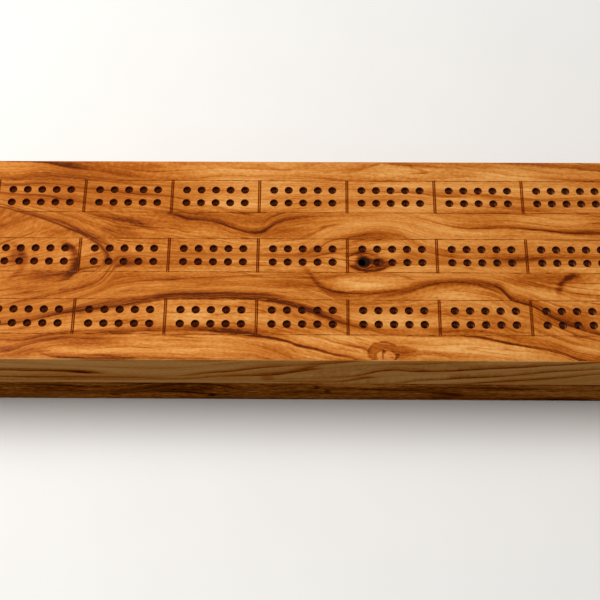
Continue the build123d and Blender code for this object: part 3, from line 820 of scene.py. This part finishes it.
material, shader, point = new_finish("burnt_score")
char = point.drift((1.6, 1.6, 1.6), 2.0)
char_colour = char.ease(0.3, 0.7).mix(shade(96, 36, 5), shade(130, 56, 10))
coat(shader, char_colour, char * 0.1 + 0.7, char, 0.02, specular=0.0)
burnt_score = material

# The lane lines are scratched, not burnt: brown in places and hardly there in others
material, shader, point = new_finish("scratched_line")
wear = point.drift((5, 5, 5), 3.0, 0.6)
scratch_colour = wear.ease(0.42, 0.6).mix(shade(112, 48, 8), shade(184, 104, 36))
coat(shader, scratch_colour, wear * 0.1 + 0.7, wear, 0.02, specular=0.0)
scratched_line = material

# Each hole's wall is dark at its mouth and pale further down; the pale depth is the bored wood's own colour
# brightened with painted light, a lit spot inside the hole
material, shader, point = new_finish("drilled_wood")
hole_x, hole_y, hole_z = axes(point)
tool_marks = point.drift((0.5, 0.5, 0.15), 2.0)
depth = top_z / mm - hole_z
bored_wood_and_painted_light = depth.ease(1.05, 3.65).mix(shade(78, 28, 5), shade(226, 152, 92))
in_knot = on_face(hole_x - case_middle_x, hole_y).oval((25.4, -2.4), (3.4, 3.4)).ease(1.1, 0.9)
bored_wood_and_painted_light = in_knot.mix(bored_wood_and_painted_light, shade(30, 12, 5))
bored_wood_and_painted_light = (tool_marks * 0.2).mix(bored_wood_and_painted_light, shade(100, 46, 16))
coat(shader, bored_wood_and_painted_light, tool_marks * 0.1 + 0.7, tool_marks, 0.03, specular=0.1)
drilled_wood = material


def board_body(work):
    def rounded(edge):
        ends = [vert.co - board_middle for vert in edge.verts]
        upright = abs(ends[0].z - ends[1].z) > corner_ease
        return upright or min(end.z for end in ends) > 0

    block(work, board_low, board_high, corner_ease, rounded)


def drawer_pocket(work):
    past = 5 * mm  # the cutter runs out this far past the open end and below
    low = Vector((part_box("end_block")[1].x - router_radius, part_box("front_rail")[1].y, seam_z - past))
    high = Vector((board_high.x + past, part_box("back_rail")[0].y, seam_z + pocket_depth))

    def routed(edge):
        ends = [vert.co for vert in edge.verts]
        return abs(ends[0].z - ends[1].z) > mm and ends[0].x < board_middle.x

    block(work, low, high, router_radius, routed, 8)


board_woods = (olive_top, olive_edge, olive_end)
board = piece("board_of_olive_wood", board_body, board_woods, "case")
cut(board, drawer_pocket, olive_edge)
cut(board, drill_holes, drilled_wood)
cut(board, lane_lines, scratched_line)
cut(board, fives_lines, burnt_score)
for face in board.data.polygons:
    if board.data.materials[face.material_index] in board_woods:
        normal = [abs(value) for value in face.normal]
        facing_axis = normal.index(max(normal))
        faces_up = facing_axis == 2 and face.center.z > board_middle.z
        wanted = olive_top if faces_up else olive_end if facing_axis == 0 else olive_edge
        face.material_index = board.data.materials.find(wanted.name)
smooth(board, 35)
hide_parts("playing_board")

# ---------------- drawer box
# Beech, machine-cut: two sides dovetailed into a back and into the olive wood front, with three
# dividers let into dados. The sides run lengthwise, so their grain does too.


def beech(name, run):
    """Pale steamed beech with short brown flecks; run is the grain's direction, 0 to 2 for X to Z."""
    material, shader, point = new_finish(name)

    def spread(across, along):
        return [along if axis == run else across for axis in range(3)]

    fibre = point.drift(spread(0.4, 30.0), 3.0, 0.6)
    fleck = point.drift(spread(0.35, 2.2), 1.0).ease(0.6, 0.72)
    tone = fibre * 0.5 + point.drift(spread(14.0, 90.0)) * 0.5
    wood = tone.ramp((0.2, shade(232, 203, 160)), (0.5, shade(219, 184, 136)), (0.8, shade(200, 158, 108)))
    coat(shader, (fleck * 0.5).mix(wood, shade(164, 112, 70)), fibre * 0.1 + 0.45, fibre - fleck * 0.5, 0.04)
    return material


crosswise_pieces = ("drawer_back", "drawer_divider_1", "drawer_divider_2", "drawer_divider_3")
dress(beech("beech_lengthwise", 0), ("drawer_front_side", "drawer_rear_side"), 0.15)
dress(beech("beech_crosswise", 1), crosswise_pieces, 0.15)

# ---------------- drawer front
# The same olive wood as the board, its grain across the end of the box, with the tails of the
# sides let into its back so that none of the joint shows when the drawer is shut.


material, shader, point = new_finish("olive_wood_front")
front_x, front_y, front_z = axes(point)
level = front_z + point.drift((30, 40, 12)) * 7 + (front_y / 30).size() ** 2 * 2.5
lines = ((level / 7.5).fraction() - 0.08).size().ease(0.1, 0.0) * 0.5
tone, grain = olive_tone(front_y, level, front_x, lines, 1.1)
tone = tone + grain.drift((60, 8, 20)) * 0.3 + 0.24
relief = grain.drift((14, 0.28, 2), 3.0)
coat(shader, olive_colour(tone, grain), tone * 0.12 + 0.42, relief, 0.05, specular=0.12)
olive_across = material
dress(olive_across, ("drawer_front",), 0.25)

# ---------------- peg tray
# An olive wood block behind the drawer front, with a round groove for each peg and a trough
# across them, so that a finger can lift a peg by its middle.

tray_low, tray_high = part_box("peg_tray")
tray_middle = (tray_low + tray_high) / 2
peg_names = ["brass_peg_3", "brass_peg_2", "brass_peg_1", "steel_peg_1", "steel_peg_2", "steel_peg_3"]
groove_radius = 2.5 * mm
groove_length = 34.4 * mm
trough_radius = 12.0 * mm
trough_depth = 5.0 * mm


def tray_block(work):
    block(work, tray_low, tray_high, 0.3 * mm)


def peg_grooves(work):
    profile = ((0.0, groove_radius), (groove_length, groove_radius))
    for name in peg_names:
        low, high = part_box(name)
        start = Vector((tray_middle.x - groove_length / 2, (low.y + high.y) / 2, tray_high.z))
        turned(work, start, (1, 0, 0), profile, 32)


def finger_trough(work):
    low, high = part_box("steel_peg_3")
    half = (low.y + high.y) / 2 + groove_radius
    start = Vector((tray_middle.x, -half, tray_high.z - trough_depth + trough_radius))
    turned(work, start, (0, 1, 0), ((0.0, trough_radius), (2 * half, trough_radius)), 64)


tray = piece("grooved_peg_tray", tray_block, [olive_across], "drawer")
cut(tray, peg_grooves, olive_across)
cut(tray, finger_trough, olive_across)
smooth(tray, 32)
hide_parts("peg_tray")

# ---------------- pegs
# Turned metal pegs, three of brass and three of steel: a tapered shank for the holes, a bead
# where it meets the grip, a grip that swells to the head, and a shallow domed end.


def turned_metal(name, bright, dull, roughness):
    """Metal off the lathe: fine rings round it, and a little handling tarnish."""
    material, shader, point = new_finish(name)
    rings = point.drift((0.05, 50, 50), 1.0)
    tarnish = point.drift((6, 3, 3), 3.0).ease(0.4, 0.75)
    coat(shader, tarnish.mix(bright, dull), tarnish * 0.18 + roughness, rings, 0.002, metallic=1.0)
    return material


brass = turned_metal("peg_brass", shade(226, 180, 92), shade(176, 128, 58), 0.2)
steel = turned_metal("peg_steel", shade(206, 206, 204), shade(150, 150, 150), 0.18)

peg_profile = (
    (0, 0), (0.12, 0.7), (0.5, 1.08), (1, 1.16), (13.4, 1.44), (13.6, 1.44), (13.8, 1.75), (14.2, 1.79),
    (14.6, 1.72), (14.8, 1.6), (16, 1.62), (20, 1.74), (25, 1.93), (29, 2.1), (29.2, 2.02), (29.6, 2.02),
    (29.8, 2.14), (32.6, 2.27), (33.2, 2.25), (33.6, 1.95), (33.9, 1.3), (34, 0),
)
for name in peg_names:
    low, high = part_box(name)
    start = Vector((low.x, (low.y + high.y) / 2, (low.z + high.z) / 2))

    def peg_body(work):
        turned(work, start, (1, 0, 0), [(reach * mm, radius * mm) for reach, radius in peg_profile], 32)

    metal, slot = (brass, "brass") if name.startswith("brass") else (steel, "peg_steel")
    peg = piece("turned_" + name, peg_body, [metal], "drawer")
    smooth(peg, 40)
    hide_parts(name)

# ---------------- knob and its screw
# A small turned brass knob in the middle of the drawer front, held by a steel screw from inside.

knob_low, knob_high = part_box("drawer_knob")
knob_middle = (knob_low + knob_high) / 2
knob_profile = (
    (0, 4), (0.9, 4), (1.3, 3.85), (1.6, 3.4), (1.9, 2.9), (2.6, 2.5), (3.6, 2.3), (4.6, 2.3), (5.3, 2.55),
    (5.8, 3.1), (6.3, 3.9), (6.9, 4.6), (7.5, 4.93), (8, 4.98), (8.5, 4.8), (9.2, 4.2), (9.8, 3.45),
    (10.4, 2.35), (10.8, 1.3), (11, 0),
)


def knob_body(work):
    start = Vector((knob_low.x, knob_middle.y, knob_middle.z))
    turned(work, start, (1, 0, 0), [(reach * mm, radius * mm) for reach, radius in knob_profile], 48)


knob = piece("turned_brass_knob", knob_body, [brass], "drawer")
smooth(knob, 50)
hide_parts("drawer_knob")

dress(turned_metal("screw_steel", shade(180, 180, 178), shade(120, 120, 120), 0.3), ("knob_screw",))

# ---------------- studio
# The box on a plain pale floor, under one broad soft light from above and behind, as seen by
# someone standing over its front.

material, shader, point = new_finish("studio_floor")
fleck = point.drift((40, 40, 40))
floor_pale = fleck.mix(shade(232, 230, 226), shade(236, 234, 230))
floor_dull = fleck.mix(shade(120, 116, 110), shade(124, 120, 114))
seen = point.node("LightPath", {}, {}, "Is Camera Ray")
for ray in ("Is Glossy Ray", "Is Transmission Ray"):
    seen = seen.above(point.node("LightPath", {}, {}, ray))
floor_colour = seen.mix(floor_dull, floor_pale)
material.node_tree.links.new(floor_colour.socket, shader.inputs["Base Color"])
shader.inputs["Roughness"].default_value = 0.9


def floor_sheet(work):
    corners = ((-3, -3, 0), (3, -3, 0), (3, 3, 0), (-3, 3, 0))
    work.faces.new([work.verts.new(corner) for corner in corners])


floor = piece("floor", floor_sheet, [material])
floor.location.z = -0.2 * mm  # just clear of the underside

scene = bpy.context.scene
world = bpy.data.worlds.new("studio")
scene.world = world
world.use_nodes = True
backdrop = world.node_tree.nodes["Background"]
backdrop.inputs["Color"].default_value = (1.0, 1.0, 1.0, 1.0)
backdrop.inputs["Strength"].default_value = 0.3

light = bpy.data.lights.new("overhead", "AREA")
light.shape = "RECTANGLE"
light.size = light.size_y = 0.9
light.energy = 33.5
lamp = bpy.data.objects.new("overhead", light)
scene.collection.objects.link(lamp)
lamp.location = Vector((-1.1, 0.3, 1.25))
aim = Vector((0, 0, 0.03)) - lamp.location
lamp.rotation_euler = aim.to_track_quat("-Z", "Y").to_euler()

camera = bpy.data.objects.new("camera", bpy.data.cameras.new("camera"))
scene.collection.objects.link(camera)
camera.data.lens = 73.86
camera.data.sensor_width = 36.0
camera.matrix_world = Matrix.Translation((-0.00158, -0.24221, 0.50935))
for axis, degrees in (("Z", 1.266), ("X", 25.524), ("Z", -0.876)):  # panned, tilted, rolled
    camera.matrix_world = camera.matrix_world @ Matrix.Rotation(math.radians(degrees), 4, axis)
camera.data.clip_start = 0.01
scene.camera = camera
scene.view_settings.view_transform = "Standard"
